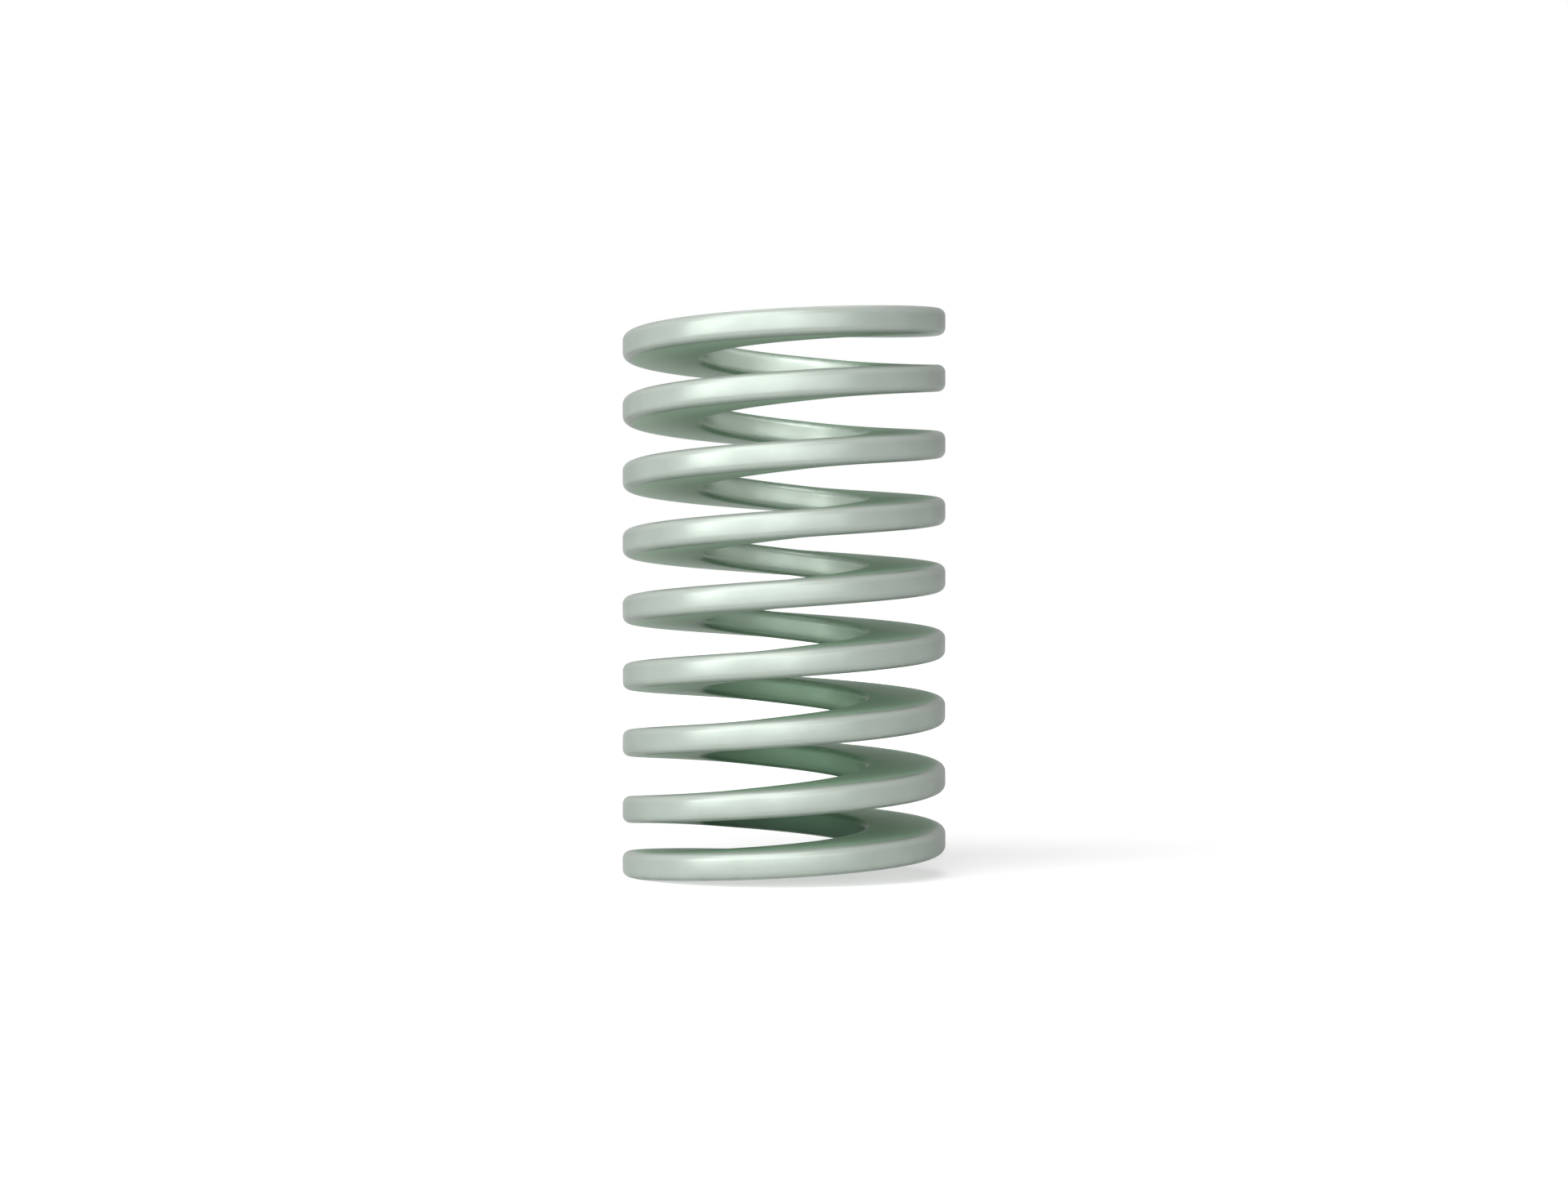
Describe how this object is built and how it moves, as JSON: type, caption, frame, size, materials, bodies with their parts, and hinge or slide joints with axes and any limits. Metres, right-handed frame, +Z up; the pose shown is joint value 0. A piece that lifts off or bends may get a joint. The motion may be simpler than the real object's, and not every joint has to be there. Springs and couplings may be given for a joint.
{
  "type": "clutch spring",
  "caption": "Helical compression spring wound right-hand from rectangular wire, with closer end coils, flat ground seats and a green lacquer finish.",
  "frame": {"origin": "on the coil's axis, in the plane of the lower ground seat", "axes": "+Z up along the coil's axis towards the upper seat; -Y is the side that the picture shows, and both wire tips lie behind, 110 degrees round from +X"},
  "size_m": [0.025, 0.025, 0.044],
  "materials": {
    "green_lacquer": "satin"
  },
  "bodies": {
    "root": {"clutch_spring": "green_lacquer"}
  },
  "joints": []
}
